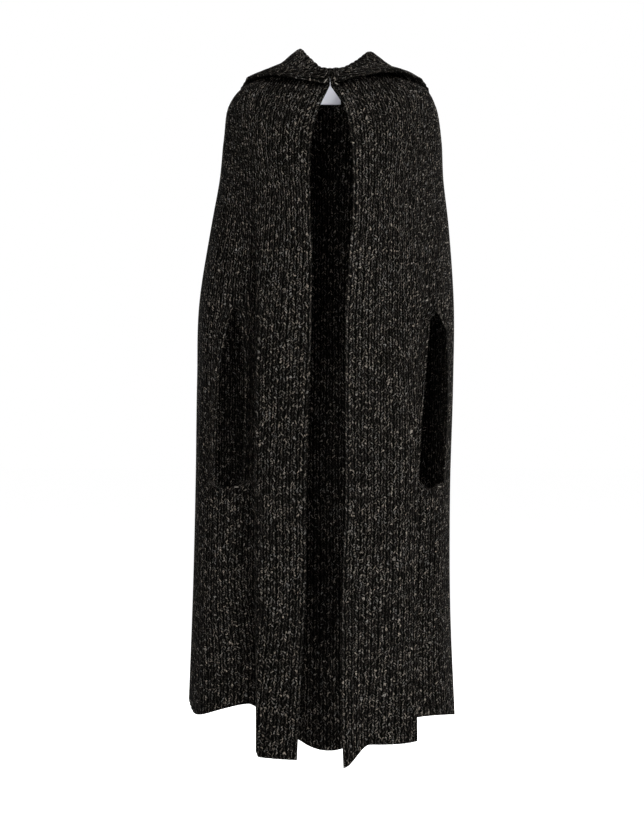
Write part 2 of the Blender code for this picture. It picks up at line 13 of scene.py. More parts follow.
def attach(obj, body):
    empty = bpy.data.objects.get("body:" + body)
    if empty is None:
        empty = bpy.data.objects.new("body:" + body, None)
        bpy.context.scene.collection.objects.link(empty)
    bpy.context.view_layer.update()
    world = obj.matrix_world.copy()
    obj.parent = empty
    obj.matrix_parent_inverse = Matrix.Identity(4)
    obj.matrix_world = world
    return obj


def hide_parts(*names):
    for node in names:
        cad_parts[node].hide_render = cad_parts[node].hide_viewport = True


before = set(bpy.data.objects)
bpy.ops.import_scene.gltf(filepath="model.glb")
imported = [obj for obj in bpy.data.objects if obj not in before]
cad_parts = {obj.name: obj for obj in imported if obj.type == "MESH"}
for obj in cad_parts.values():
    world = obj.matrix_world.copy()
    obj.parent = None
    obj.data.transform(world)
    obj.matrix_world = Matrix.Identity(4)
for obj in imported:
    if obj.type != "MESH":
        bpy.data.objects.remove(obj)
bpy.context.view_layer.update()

# Sizes and tables shared with the CAD source.
WALL = 0.004  # thickness of the knit
SEAM_GAP = 0.0004  # between two panels along a seam
RIBS = 28  # ribs across a quarter of the body
NECK_RIBS = 10  # of those, the ribs that end at the neckline
SHOULDER_RUN = 0.26  # how far down the shoulder line the other ribs end
CAPE_RUN = 1.31  # from the neckline to the hem, down the cloth
BACK_DIP = 9.0  # how sharply the hem dips towards the middle of the back
LEFT_HEM_LIFT = 0.022  # how much higher the left side of the hem curls
RIGHT_HEM_DROP = 0.009  # and how much lower the right side hangs
LEFT = -1
RIGHT = 1
# Rings of the body from the neckline to the hem: depths (y), half widths (x) and heights (z) at the front,
# the sides and the back, and the squareness of the oval.
RINGS = np.array([
    # run   front_y front_z left_x right_x side_z  back_y back_z square
    (0.00, -0.080, -0.013, 0.066, 0.068, 0.036, 0.066, 0.022, 2.00),
    (0.05, -0.112, -0.060, 0.118, 0.124, 0.015, 0.096, -0.014, 2.00),
    (0.11, -0.138, -0.118, 0.168, 0.181, -0.008, 0.118, -0.068, 2.05),
    (0.17, -0.155, -0.175, 0.194, 0.203, -0.042, 0.132, -0.128, 2.10),
    (0.25, -0.166, -0.252, 0.204, 0.214, -0.105, 0.142, -0.215, 2.15),
    (0.34, -0.174, -0.340, 0.212, 0.218, -0.186, 0.149, -0.305, 2.20),
    (0.43, -0.178, -0.425, 0.228, 0.228, -0.275, 0.155, -0.395, 2.20),
    (0.55, -0.181, -0.535, 0.251, 0.238, -0.420, 0.160, -0.510, 2.20),
    (0.70, -0.183, -0.685, 0.256, 0.237, -0.575, 0.166, -0.665, 2.20),
    (0.90, -0.186, -0.880, 0.259, 0.231, -0.785, 0.174, -0.865, 2.20),
    (1.10, -0.190, -1.075, 0.264, 0.231, -1.000, 0.183, -1.075, 2.20),
    (1.31, -0.195, -1.284, 0.272, 0.240, -1.217, 0.192, -1.330, 2.20),
])
# Distance of each front edge from the middle of the body, by run.
FRONT_EDGES = np.array([
    # run  left_x  right_x
    (0.00, 0.0008, 0.0008),
    (0.05, 0.0200, 0.0260),
    (0.11, 0.0340, 0.0380),
    (0.17, 0.0380, 0.0410),
    (0.25, 0.0375, 0.0420),
    (0.34, 0.0345, 0.0360),
    (0.43, 0.0345, 0.0292),
    (0.64, 0.0398, 0.0272),
    (0.80, 0.0440, 0.0272),
    (1.02, 0.0463, 0.0220),
    (1.20, 0.0570, 0.0198),
    (1.31, 0.0622, 0.0240),
])
# Folds: how far from the middle and how deep they are, over what width they drop and come back out, how far
# the cloth slides under their edge, the runs where they start and are full, and the hem's lift.
FOLDS = (
    # side, half, edge_x, depth, drop, back_out, slide, start, full, hem_lift
    (LEFT, "front", 0.132, 0.036, 0.040, 0.110, 0.016, 0.14, 0.60, 0.086),
    (RIGHT, "front", 0.159, 0.026, 0.032, 0.080, 0.018, 0.34, 0.90, 0.034),
    (LEFT, "back", 0.050, 0.014, 0.050, 0.070, 0.000, 0.40, 1.25, 0.000),
    (LEFT, "back", 0.165, 0.018, 0.045, 0.070, 0.004, 0.30, 1.20, 0.012),
    (RIGHT, "back", 0.035, 0.012, 0.050, 0.065, 0.000, 0.45, 1.25, 0.000),
    (RIGHT, "back", 0.140, 0.020, 0.045, 0.070, 0.004, 0.32, 1.20, 0.014),
)
LIFT_START = 0.95  # the run below which the hem lifts beyond a fold
LIFT_RETURN = 0.16  # the width over which that lift dies out again
RIGHT_FRONT_RISE = 0.030  # the right front's hem hangs this much higher than the left one's
CORNER_DROP = 0.044  # and its corner hangs this much lower than the rest of it
CORNER_WIDTH = 0.050  # over this width of cloth
RIGHT_FRONT_START = 1.05  # the run below which both show
# Arm slits: the rib that opens, how far its edges stand apart towards the front and the side, and how much of
# that they already do just under the top.
SLITS = {
    # side: rib, to_front, to_side, under_top
    LEFT: (16, 0.030, 0.024, 0.50),
    RIGHT: (18, 0.024, 0.033, 0.80),
}
SLIT_SPAN = (0.352, 0.372, 0.440, 0.515, 0.612, 0.624)  # its rows: top, four where it stands open, bottom
SLIT_OPEN = (0.0, 0.0, 0.95, 1.0, 1.0, 0.0)  # share of the full opening at each
SLIT_EASE = 4.5  # ribs over which the cloth beside a slit gives way
# The hood goes round from the throat (share 0) to the middle of the back (1), and across from the neck seam
# (turn 0) over the roll and the fold (0.5) to the face edge (1).
HOOD_COLUMNS = 15  # of the CAD's hood, from throat to back
HOOD_START = 0.012  # its first column, a little away from the throat's point
# Turns of the lines that shape it, in hood_middle's order.
HOOD_TURNS = (0.0, 0.09, 0.13, 0.17, 0.30, 0.44, 0.50, 0.56, 0.76, 1.0)
NECK_INSET = 0.0040  # the hood's stand is joined this far inside the neckline
HOOD_CLEAR = 0.0138  # least distance between the middles of the two walls
FREE_TURN = 0.16  # beyond this turn the hood is kept clear of the body
# Lines of the hood from throat to back: the roll is its highest, the fold is the bottom of the pouch, and
# the face edge is its rim.
ROLL_LINE = np.array([
    # left_out left_z right_out right_z y
    (0.0015, 0.008, 0.0015, 0.008, -0.083),
    (0.0210, 0.021, 0.0240, 0.018, -0.079),
    (0.0460, 0.048, 0.0530, 0.038, -0.052),
    (0.0585, 0.0655, 0.0770, 0.0605, -0.014),
    (0.0660, 0.058, 0.0800, 0.054, 0.030),
    (0.0400, 0.047, 0.0460, 0.046, 0.074),
    (0.0000, 0.044, 0.0000, 0.044, 0.090),
])
FOLD_LINE = np.array([
    # left_out left_z right_out right_z y
    (0.0015, -0.001, 0.0015, -0.001, -0.0935),
    (0.0460, 0.010, 0.0510, 0.014, -0.092),
    (0.0960, 0.019, 0.1070, 0.022, -0.068),
    (0.1400, 0.018, 0.1560, 0.019, 0.018),
    (0.1500, -0.062, 0.1680, -0.062, 0.094),
    (0.0980, -0.150, 0.1100, -0.150, 0.142),
    (0.0000, -0.205, 0.0000, -0.205, 0.164),
])
FACE_EDGE = np.array([
    # left_out left_z right_out right_z y
    (0.0015, -0.014, 0.0015, -0.014, -0.0945),
    (0.0600, -0.004, 0.0650, 0.003, -0.094),
    (0.1180, 0.009, 0.1300, 0.014, -0.066),
    (0.1640, 0.007, 0.1820, 0.006, 0.014),
    (0.1700, 0.001, 0.1880, 0.001, 0.106),
    (0.1000, -0.018, 0.1120, -0.018, 0.166),
    (0.0000, -0.028, 0.0000, -0.028, 0.190),
])
POUCH_START = 0.42  # share where the two layers begin to part into the pouch
POUCH_SPAN = 0.40  # share over which they do
POUCH_SWELL = 0.030  # how far the pouch's outer layer bellies out
ROLL_ROUND = 0.004  # how far the roll bulges to the neck's side of its line
ROLL_FALL = 0.6  # share of that on the other side
FALL_OUT = 0.012  # how far the fall bellies out behind the pouch
FALL_HOLLOW = 0.006  # how far the fall sags between the roll and the shoulder
EDGE_LIFT = 0.002  # how far the outer layer arches over the shoulder
INNER_FOOT = 0.010  # half width of the pouch's bottom, towards the body
OUTER_FOOT = 0.012  # and away from it
FOOT_REACH = 0.22  # share of each layer that its foot takes, in the pouch
FOOT_REACH_MORE = 0.16  # and how much more in front
LABEL_WIDTH = 0.041
LABEL_TOP = 0.0245  # height of its upper edge
LABEL_BOTTOM = -0.0305  # and of its lower one
LABEL_WALL = 0.0010  # its thickness
LABEL_MIDDLE = 0.0008  # how far it hangs to the right of the middle
LABEL_LEAN = 0.0025  # how far its lower edge stands off the back

# The knit, which only this script shows in full.
RIB_STEPS = 6  # grid columns across a rib of the body
BODY_BANDS = (  # from one share of the way down to the next, in this many rows
    (0.000, 0.352, 46),
    (0.352, 0.372, 4),
    (0.372, 0.612, 32),
    (0.612, 0.624, 2),
    (0.624, 1.000, 48),
)
HOOD_FINE_COLUMNS = 150  # of half the hood, from throat to back
HOOD_FINE_ROWS = 130  # and from neck seam to face edge
RIB_HEIGHT = 0.0017  # from a groove's bottom to a rib's crest
INNER_RIB_HEIGHT = 0.0010  # the same on the inside of the cloth
GROOVE = 0.80  # below 1, ribs are broad and the grooves between them narrow
COURSE = 0.0059  # height of a stitch
RIB_PITCH = 0.0122  # width of a rib
BODY_WANDER = 0.16  # how far, in ribs, the wales wander from a straight line
HOOD_NECK_HALF = 0.23  # half the hood's neck seam
HOOD_EDGE_HALF = 0.43  # half its face edge

# Shapes finer than the CAD's.
SEAM_LAP = 0.0002  # how far soft edges go past a seam's line, so that no light comes through
TOP_FLAT_START = -0.01  # share of the way down where ribs begin to rise from the seams
TOP_FLAT_SPAN = 0.03  # and the share over which they do
QUARTER_COLUMNS = 420  # of the fine grid that a quarter of the body is measured on
QUARTER_ROWS = 240
THROAT_CLOSE = 0.0017  # how much nearer the hood's front ends come than the CAD's
THROAT_SPAN = 0.05  # and the share of the way round over which that dies out
HOOD_FLAT_NECK = 0.04  # turn over which the hood's ribs rise from the neck seam
HOOD_FLAT_EDGE = 0.02  # and over which they flatten at the face edge
CROWN_CALM = 0.06  # the hood's creases die out over this share before the crown seam
CROWN_STRAIGHT = 0.05  # and its wales wander less over this share
HOOD_WANDER = 0.6  # wander of the hood's wales against the body's
HOOD_FIRST_RIB = 40.0  # keeps the numbers of its halves' ribs apart
CLEAR_ROWS = 41  # rows of places where it is cleared of the body
CLEAR_RISE = 1.2  # how far up it moves for that, against out
LABEL_RIPPLE = 0.0004  # how far the label's lower edge waves
LABEL_WAVES = 9.0  # radians of that wave across the label
LABEL_HEM_START = 0.90  # share of its height where its turned-up hem begins
LABEL_HEM_STEP = 0.012  # the share over which the hem's edge rises
LABEL_HEM = 0.0005  # and how far it rises

# Soft creases besides the folds: rib and run at their middle, half width in ribs, half length in run, height
# (below 0 for a trough) and slant in ribs a metre.
CREASES = (
    # side, half, rib, run, width, length, height, slant
    (LEFT, "front", 5.0, 0.62, 1.9, 0.34, 0.0040, 1.6),
    (LEFT, "front", 8.2, 0.90, 1.6, 0.30, -0.0040, -1.2),
    (LEFT, "front", 2.4, 1.12, 1.5, 0.22, -0.0030, 0.8),
    (LEFT, "front", 13.2, 0.94, 1.5, 0.30, -0.0130, 0.6),
    (LEFT, "front", 9.2, 0.86, 1.5, 0.34, 0.0085, 0.0),
    (LEFT, "front", 22.0, 0.80, 1.8, 0.40, 0.0036, 1.4),
    (LEFT, "front", 13.0, 0.30, 2.4, 0.16, 0.0030, 3.0),
    (RIGHT, "front", 4.2, 0.50, 1.8, 0.30, 0.0038, -1.8),
    (RIGHT, "front", 8.4, 0.74, 2.2, 0.42, 0.0050, 1.2),
    (RIGHT, "front", 15.2, 0.86, 1.5, 0.30, -0.0070, 0.8),
    (RIGHT, "front", 2.2, 0.98, 1.3, 0.30, -0.0028, -0.6),
    (RIGHT, "front", 22.5, 0.86, 1.8, 0.36, -0.0034, 1.0),
    (RIGHT, "front", 14.0, 0.28, 2.6, 0.14, 0.0028, 3.5),
    (LEFT, "back", 6.0, 0.52, 2.0, 0.26, 0.0044, 1.5),
    (LEFT, "back", 14.5, 0.84, 2.0, 0.36, 0.0050, 2.0),
    (LEFT, "back", 21.0, 0.60, 1.7, 0.30, -0.0036, 1.0),
    (RIGHT, "back", 5.0, 0.66, 2.2, 0.30, -0.0040, -1.0),
    (RIGHT, "back", 12.0, 0.98, 1.9, 0.30, 0.0052, 1.8),
    (RIGHT, "back", 20.5, 0.70, 1.9, 0.34, 0.0040, 1.2),
)
SEAM_CALM = 4.0  # creases die out over this many ribs before a side seam
TOP_CALM = 0.10  # and over this run below the neckline
# The hood's creases: share and turn at their middle, half widths in share and turn, height.
HOOD_CREASES = (
    # side, share, turn, share_width, turn_width, height
    (LEFT, 0.30, 0.34, 0.16, 0.050, 0.0024),
    (LEFT, 0.55, 0.24, 0.10, 0.060, -0.0020),
    (LEFT, 0.80, 0.76, 0.08, 0.100, -0.0040),
    (LEFT, 0.62, 0.80, 0.05, 0.120, 0.0036),
    (RIGHT, 0.34, 0.30, 0.18, 0.050, 0.0022),
    (RIGHT, 0.58, 0.36, 0.08, 0.060, -0.0020),
    (RIGHT, 0.74, 0.72, 0.07, 0.120, 0.0040),
    (RIGHT, 0.88, 0.82, 0.06, 0.090, -0.0040),
)

# Camera of the photo: level, square to the front.
CAMERA_X = -0.0156  # at the middle of the cape's width
CAMERA_Z = -0.633  # and of its height
CAMERA_DISTANCE = 4.0  # in front of the plane y = 0
PIXEL = 0.00195  # metres a pixel in the plane y = 0
PHOTO_WIDTH = 644
PHOTO_HEIGHT = 819
SENSOR = 36.0  # height of the camera's sensor, in millimetres
FLOOR_Z = -1.60  # below the hem
FLOOR_SIZE = 60.0  # its width
AMBIENT = 0.12  # strength of the light from the surroundings

# Lights, which aim at the middle of the cape.
LIGHTS = (
    # name, place, size, power
    ("key", (2.3, -3.1, 0.5), 0.9, 60.0),
    ("high_front", (1.1, -3.2, 1.7), 0.8, 80.0),
    ("low_front", (-0.5, -4.1, -0.2), 0.6, 27.0),
    ("top", (0.2, 0.6, 2.4), 2.0, 20.0),
    ("back_left", (2.2, 3.2, 0.6), 1.6, 95.0),
    ("back_right", (-2.6, 2.6, 0.2), 1.6, 50.0),
)

# Stitches seen as short light dashes: name, pixel of the photo, length and lean from upright in degrees.
STITCHES = (
    # name, u, v, length, lean
    ("throat_stitch_left", 325.5, 81.0, 0.010, 38.0),
    ("throat_stitch_right", 335.5, 83.0, 0.011, -58.0),
    ("slit_tack_left", 236.5, 487.0, 0.008, 90.0),
    ("slit_tack_right", 439.0, 486.5, 0.008, 90.0),
)
STITCH_POINTS = 5  # along each
STITCH_RADIUS = 0.0009  # of the thread


# Shapes: helpers

def smooth(x):
    """A soft step from 0 at x = 0 to 1 at x = 1."""
    x = np.clip(x, 0.0, 1.0)
    return x * x * (3.0 - 2.0 * x)


def hermite(t, step, first, second, first_slope, second_slope):
    """The cubic between two values with these slopes, t of the way along a step."""
    return (
        (2 * t**3 - 3 * t**2 + 1) * first
        + (t**3 - 2 * t**2 + t) * step * first_slope
        + (3 * t**2 - 2 * t**3) * second
        + (t**3 - t**2) * step * second_slope
    )


def knot_slopes(step, values):
    """Slopes at the knots of a smooth curve through the values, which are these steps apart."""
    slope = np.diff(values, axis=0) / step
    middle = (slope[:-1] * step[1:] + slope[1:] * step[:-1]) / (step[1:] + step[:-1])
    return np.concatenate([slope[:1], middle, slope[-1:]])


def spline(table, x):
    """A smooth curve through the rows of a table, at x in its first column. Gives the other columns."""
    xs = table[:, 0]
    ys = table[:, 1:]
    step = np.diff(xs)[:, None]
    slope = knot_slopes(step, ys)
    i = np.clip(np.searchsorted(xs, x, side="right") - 1, 0, len(xs) - 2)
    t = ((x - xs[i]) / (xs[i + 1] - xs[i]))[..., None]
    return hermite(t, step[i], ys[i], ys[i + 1], slope[i], slope[i + 1])


def unit(v):
    """Vectors of length 1 along these vectors."""
    return v / np.maximum(np.linalg.norm(v, axis=-1, keepdims=True), 1e-12)


def level(v):
    """Vectors with their height left out."""
    return v * np.array([1.0, 1.0, 0.0])


def lengths(points):
    """Distance along each row of points from its first point."""
    return np.cumsum(np.linalg.norm(np.diff(points, axis=1, prepend=points[:, :1]), axis=-1), axis=1)


def along_curve(at, xs, points):
    """Points of a polyline at these values of xs."""
    return np.stack([np.interp(at, xs, points[:, axis]) for axis in range(3)], axis=-1)


def banded(bands):
    """Values from the first band's start to the last one's end, evenly spaced within each band."""
    spaced = [np.linspace(low, high, rows, endpoint=False) for low, high, rows in bands]
    return np.concatenate(spaced + [[bands[-1][1]]])


# Shapes: body

def ring_point(side, run, angle):
    """The plain oval body at a run down the cloth and an angle from centre front, without its folds."""
    ring = np.moveaxis(spline(RINGS, run), -1, 0)
    front_y, front_z, left_x, right_x, side_z, back_y, back_z, square = ring
    half = left_x if side == LEFT else right_x
    sine = np.sin(angle)
    cosine = np.cos(angle)
    low = smooth(run / CAPE_RUN)
    front_share = 1.0 - np.abs(sine) ** (2.0 + 2.0 * low)
    back_share = np.abs(cosine) ** (2.0 + BACK_DIP * low)
    curl = (LEFT_HEM_LIFT if side == LEFT else -RIGHT_HEM_DROP) * low**4 * np.abs(sine) ** 8
    x = side * half * np.abs(sine) ** (2.0 / square)
    y = np.where(cosine > 0, front_y, back_y) * np.abs(cosine) ** (2.0 / square)
    share = np.where(cosine > 0, front_share, back_share)
    z = side_z + (np.where(cosine > 0, front_z, back_z) - side_z) * share + curl
    return np.stack([x, y, z], axis=-1)


def angle_at(side, run, out, half):
    """The angle at which the body's oval is this far out from the middle."""
    row = spline(RINGS, run)
    width = row[..., 2] if side == LEFT else row[..., 3]
    angle = np.arcsin(np.clip(out / width, 0.0, 1.0) ** (row[..., 7] / 2.0))
    return angle if half == "front" else np.pi - angle


def quarter(side, half, runs):
    """A fine grid of a quarter of the body with its folds: a row a run, from the middle to the side."""
    edges = spline(FRONT_EDGES, runs)[:, 0 if side == LEFT else 1]
    start = angle_at(side, runs, edges, "front") if half == "front" else np.full(len(runs), np.pi)
    share = np.linspace(0.0, 1.0, QUARTER_COLUMNS)
    angle = start[:, None] + (np.pi / 2 - start)[:, None] * share[None, :]
    run = np.repeat(runs[:, None], QUARTER_COLUMNS, axis=1)
    base = ring_point(side, run, angle)
    along = unit(level(np.gradient(base, axis=1)))
    outward = np.stack([along[..., 1], -along[..., 0], np.zeros_like(run)], axis=-1)
    outward *= np.sign((outward * base).sum(-1, keepdims=True))
    length = lengths(base)
    point = base.copy()
    for fold_side, fold_half, edge_x, depth, drop, back_out, slide, first, full, hem_lift in FOLDS:
        if (fold_side, fold_half) != (side, half):
            continue
        fold_angle = angle_at(side, runs, edge_x, half)
        at = np.array([np.interp(abs(a - s), np.abs(angle[i] - s), length[i])
                       for i, (a, s) in enumerate(zip(fold_angle, start))])
        past = length - at[:, None]
        strength = smooth((run - first) / (full - first))
        inside = smooth(past / drop) * (1.0 - smooth((past - drop) / back_out)) * strength
        lift = smooth(past / drop) * (1.0 - smooth((past - drop) / LIFT_RETURN)) * strength
        point = point - outward * (depth * inside)[..., None] - along * (slide * inside)[..., None]
        point[..., 2] += hem_lift * lift * smooth((run - LIFT_START) / (CAPE_RUN - LIFT_START))
    if (side, half) == (RIGHT, "front"):
        low = smooth((run - RIGHT_FRONT_START) / (CAPE_RUN - RIGHT_FRONT_START))
        towards_front = np.clip(np.cos(angle), 0.0, 1.0) ** 2
        point[..., 2] += low * towards_front * RIGHT_FRONT_RISE
        point[..., 2] -= low * CORNER_DROP * (1.0 - smooth(length / CORNER_WIDTH))
    return point


def start_run(rib):
    """The run where a rib's column begins: the neckline for the first ribs, else the shoulder line."""
    return SHOULDER_RUN * np.clip((rib - NECK_RIBS) / (RIBS - NECK_RIBS), 0.0, 1.0)


def quarter_columns(side, half, ribs, rows):
    """Points of a quarter at these ribs (from the middle to the side seam) and rows (0 top, 1 hem)."""
    runs = np.linspace(0.0, CAPE_RUN, QUARTER_ROWS)
    fine = quarter(side, half, runs)
    length = lengths(fine)
    present = NECK_RIBS + (RIBS - NECK_RIBS) * np.clip(runs / SHOULDER_RUN, 0.0, 1.0)
    at = np.stack([along_curve(np.minimum(ribs / present[i], 1.0) * length[i, -1], length[i], fine[i])
                   for i in range(QUARTER_ROWS)])
    begin = start_run(ribs)
    out = np.stack([along_curve(begin[j] + (CAPE_RUN - begin[j]) * rows, runs, at[:, j])
                    for j in range(len(ribs))], axis=1)
    on_seam = ribs >= NECK_RIBS
    out[0, on_seam] = along_curve(begin[on_seam], runs, fine[:, -1])
    return out


def grid_normals(grid, sign):
    """Unit normals of a grid of points, turned by the sign."""
    return sign * unit(np.cross(np.gradient(grid, axis=0), np.gradient(grid, axis=1)))


def outward_normals(grid):
    """Unit normals of a body grid, pointing away from the body's upright middle line."""
    normal = grid_normals(grid, 1.0)
    return normal * np.sign((normal * level(grid)).sum(-1).mean())


def crease_height(side, half, ribs, runs):
    """Soft creases: the sum of height * exp(-across^2 - down^2), where across is counted in half widths from
    the slanting middle line and down in half lengths, dying out towards the side seam and the neckline."""
    total = np.zeros_like(runs)
    for crease_side, crease_half, rib, run, width, length, height, slant in CREASES:
        if (crease_side, crease_half) == (side, half):
            across = (ribs - rib - slant * (runs - run)) / width
            down = (runs - run) / length
            total += height * np.exp(-across**2 - down**2)
    return total * smooth((RIBS - ribs) / SEAM_CALM) * smooth(runs / TOP_CALM)


def body_quarters():
    """Middle grids, outward normals, rib coordinates and runs of the body's quarters, by side and half."""
    ribs = np.arange(RIBS * RIB_STEPS + 1) / RIB_STEPS
    rows = banded(BODY_BANDS)
    on_top = ribs >= NECK_RIBS
    begin = start_run(ribs)
    runs = begin[None, :] + (CAPE_RUN - begin)[None, :] * rows[:, None]
    spread = np.repeat(ribs[None, :], len(rows), axis=0)
    keys = [(side, half) for side in (LEFT, RIGHT) for half in ("front", "back")]
    grids = {key: quarter_columns(*key, ribs, rows) for key in keys}
    back_normal = outward_normals(both_backs(grids))
    normals = {(LEFT, "back"): back_normal[:, len(ribs) - 1::-1].copy(),
               (RIGHT, "back"): back_normal[:, len(ribs) - 1:].copy()}
    for side in (LEFT, RIGHT):
        front = outward_normals(grids[side, "front"])
        rear = normals[side, "back"]
        shared_top = unit(front[0, on_top] + rear[0, on_top])
        shared_side = unit(front[:, -1] + rear[:, -1])
        for normal in (front, rear):
            normal[0, on_top] = shared_top
            normal[:, -1] = shared_side
        normals[side, "front"] = front
    for side, half in keys:
        grid = grids[side, half]
        moved = grid + normals[side, half] * crease_height(side, half, spread, runs)[..., None]
        moved[:, -1] -= unit(grid[:, -2] - grid[:, -1]) * SEAM_LAP
        moved[0, on_top] -= unit(grid[1] - grid[0])[on_top] * SEAM_LAP
        grids[side, half] = moved
    return ribs, rows, grids, normals


def both_backs(values):
    """The back's two quarters side by side, as one grid from the left side seam to the right one."""
    return np.concatenate([values[LEFT, "back"][:, :0:-1], values[RIGHT, "back"]], axis=1)


def open_slit(grid, ribs, rows, side):
    """Two copies of a front's grid, for the cloth on either side of its arm slit."""
    slit_rib, to_front, to_side, under_top = SLITS[side]
    shares = (SLIT_OPEN[0], under_top) + SLIT_OPEN[2:]
    opened = np.interp(rows, SLIT_SPAN, shares, left=0.0, right=0.0)[:, None]
    near = smooth(1.0 - np.abs(ribs - slit_rib) / SLIT_EASE)[None, :]
    along = unit(np.gradient(grid, axis=1)) * (opened * near)[..., None]
    return grid - along * to_front, grid + along * to_side


def wander(ribs, courses, seed):
    """How far, in ribs, each wale strays from a straight line: slow waves down the cloth, different from rib
    to rib, made of three sines."""
    return BODY_WANDER * (
        0.5 * np.sin(0.045 * courses + 0.23 * ribs + seed)
        + 0.3 * np.sin(0.110 * courses - 0.41 * ribs + 2.1 * seed)
        + 0.2 * np.sin(0.270 * courses + 0.90 * ribs + 3.7 * seed)
    )


def rib_profile(ribs):
    """1 on the crest of each rib and 0 in the groove between: |cos(pi * ribs)| to the power GROOVE."""
    return np.abs(np.cos(np.pi * ribs)) ** GROOVE


def top_fade(rows):
    """How much of their height the ribs have at each row: they rise from the neck and shoulder seams."""
    return smooth((rows - TOP_FLAT_START) / TOP_FLAT_SPAN)[:, None]


def knit_skins(grid, normal, ribs, fade):
    """Outer and inner skins of a knitted wall: ribs outside, and between them the inner face's ribs."""
    outside = (rib_profile(ribs) - 0.5) * RIB_HEIGHT * fade
    inside = (rib_profile(ribs + 0.5) - 0.5) * INNER_RIB_HEIGHT * fade
    return grid + normal * (WALL / 2 + outside)[..., None], grid - normal * (WALL / 2 + inside)[..., None]


# Meshes

def grid_faces(ids):
    """The faces of a grid of vertex numbers."""
    return np.stack([ids[:-1, :-1], ids[:-1, 1:], ids[1:, 1:], ids[1:, :-1]], axis=-1).reshape(-1, 4)


def join_grids(first, second, first_ids, second_ids):
    """Joins two grids that share some vertex numbers. first and second list values at their points. Gives the
    joined values at the vertices in use, and the faces of each grid."""
    used, numbers = np.unique(np.concatenate([first_ids.ravel(), second_ids.ravel()]), return_inverse=True)
    values = [np.concatenate([a.reshape(-1, a.shape[-1]), b.reshape(-1, b.shape[-1])])[used]
              for a, b in zip(first, second)]
    first_faces = grid_faces(numbers[:first_ids.size].reshape(first_ids.shape))
    second_faces = grid_faces(numbers[first_ids.size:].reshape(second_ids.shape))
    return values, first_faces, second_faces


def closed_wall(name, outer, inner, uv, faces, material):
    """A closed wall from matching outer and inner points: both skins, and faces along every open side."""
    count = len(outer)
    edges = np.concatenate([faces[:, [0, 1]], faces[:, [1, 2]], faces[:, [2, 3]], faces[:, [3, 0]]])
    key = edges[:, 0].astype(np.int64) * count + edges[:, 1]
    twin = edges[:, 1].astype(np.int64) * count + edges[:, 0]
    rim = edges[~np.isin(key, twin)]
    sides = np.stack([rim[:, 1], rim[:, 0], rim[:, 0] + count, rim[:, 1] + count], axis=-1)
    quads = np.concatenate([faces, faces[:, ::-1] + count, sides])
    points = np.concatenate([outer, inner])
    volume = 0.0
    for corners in ([0, 1, 2], [0, 2, 3]):
        corner = points[quads[:, corners]]
        volume += np.einsum("ij,ij->i", corner[:, 0], np.cross(corner[:, 1], corner[:, 2])).sum()
    if volume < 0:
        quads = quads[:, ::-1]
    mesh = bpy.data.meshes.new(name)
    mesh.from_pydata(points, [], quads.tolist())
    layer = mesh.uv_layers.new(name="knit")
    layer.data.foreach_set("uv", np.concatenate([uv, uv])[quads.reshape(-1)].astype(np.float32).ravel())
    mesh.polygons.foreach_set("use_smooth", np.ones(len(quads), bool))
    mesh.materials.append(material)
    mesh.update()
    piece = bpy.data.objects.new(name, mesh)
    bpy.context.scene.collection.objects.link(piece)
    return piece


def place(piece, node):
    """Hands a piece to the frame in place of its CAD node."""
    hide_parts(node)
    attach(piece, "root")
    return piece


def front_panel(side, name, quarters, material):
    """A front: its middle grid at (row, rib), in two copies that part along the arm slit's rib."""
    ribs, rows, grids, normals = quarters
    grid = grids[side, "front"]
    normal = normals[side, "front"]
    split = SLITS[side][0] * RIB_STEPS
    open_rows = (rows > SLIT_SPAN[0] + 1e-6) & (rows < SLIT_SPAN[-1] - 1e-6)
    spread, down = np.meshgrid(ribs, rows * CAPE_RUN / COURSE)
    strayed = spread + wander(spread, down, float(side))
    fade = top_fade(rows)
    near, far = open_slit(grid, ribs, rows, side)
    uv = np.stack([strayed, down], axis=-1)
    first = [values[:, :split + 1] for values in (*knit_skins(near, normal, strayed, fade), uv)]
    second = [values[:, split:] for values in (*knit_skins(far, normal, strayed, fade), uv)]
    first_ids = np.arange(len(rows) * (split + 1)).reshape(len(rows), -1)
    second_ids = first_ids.size + np.arange(len(rows) * (len(ribs) - split)).reshape(len(rows), -1)
    second_ids[~open_rows, 0] = first_ids[~open_rows, -1]
    values, near_faces, far_faces = join_grids(first, second, first_ids, second_ids)
    faces = np.concatenate([near_faces, far_faces])
    return place(closed_wall(name + "_knit", *values, faces, material), name)


def back_panel(quarters, material):
    """The back: one grid from the left side seam to the right one."""
    ribs, rows, grids, normals = quarters
    grid = both_backs(grids)
    all_ribs = np.concatenate([-ribs[:0:-1], ribs])
    spread, down = np.meshgrid(all_ribs, rows * CAPE_RUN / COURSE)
    strayed = spread + wander(spread, down, 2.6)
    outer, inner = knit_skins(grid, both_backs(normals), strayed, top_fade(rows))
    faces = grid_faces(np.arange(grid.shape[0] * grid.shape[1]).reshape(grid.shape[:2]))
    uv = np.stack([strayed, down], axis=-1).reshape(-1, 2)
    wall = closed_wall("back_knit", outer.reshape(-1, 3), inner.reshape(-1, 3), uv, faces, material)
    return place(wall, "back")


# Shapes: hood

def hood_line(table, side, share):
    """A line of the hood at a share of the way from the throat to the middle of the back."""
    steps = np.linspace(0.0, 1.0, len(table))[:, None]
    left_out, left_z, right_out, right_z, y = np.moveaxis(spline(np.hstack([steps, table]), share), -1, 0)
    out, z = (left_out, left_z) if side == LEFT else (right_out, right_z)
    return np.stack([side * out, y, z], axis=-1)


